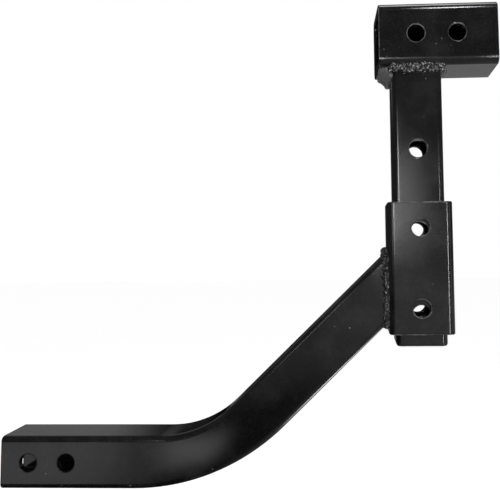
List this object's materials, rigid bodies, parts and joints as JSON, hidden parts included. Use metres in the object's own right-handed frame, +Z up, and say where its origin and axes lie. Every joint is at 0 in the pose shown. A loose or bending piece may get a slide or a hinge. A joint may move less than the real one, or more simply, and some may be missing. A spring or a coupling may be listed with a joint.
{
  "type": "receiver hitch adapter",
  "caption": "Square-tube hitch adapter: a bent shank carries an upright sleeve, and a mast that slides in it holds a cross receiver for a 2 inch shank.",
  "frame": {"origin": "centre of the shank's main pin hole, on the adapter's middle plane", "axes": "+X along the shank towards the sleeve, +Y along the pin holes, +Z up along the mast"},
  "size_m": [0.5029, 0.0668, 0.4822],
  "materials": {
    "tube": "semi-gloss black enamel over steel tube",
    "weld_metal": "black enamel over a rough weld bead"
  },
  "bodies": {
    "frame": {"bent_shank": "tube", "sleeve": "tube", "shank_weld_top": "weld_metal", "shank_weld_under": "weld_metal", "shank_weld_front": "weld_metal", "shank_weld_back": "weld_metal"},
    "mast_head": {"mast": "tube", "receiver": "tube", "receiver_weld_left": "weld_metal", "receiver_weld_right": "weld_metal", "receiver_weld_front": "weld_metal", "receiver_weld_back": "weld_metal"}
  },
  "joints": [
    {"name": "mast_slide", "type": "slide", "parent": "frame", "child": "mast_head", "axis": [0, 0, 1], "range_m": [-0.0825, 0.0825]}
  ]
}
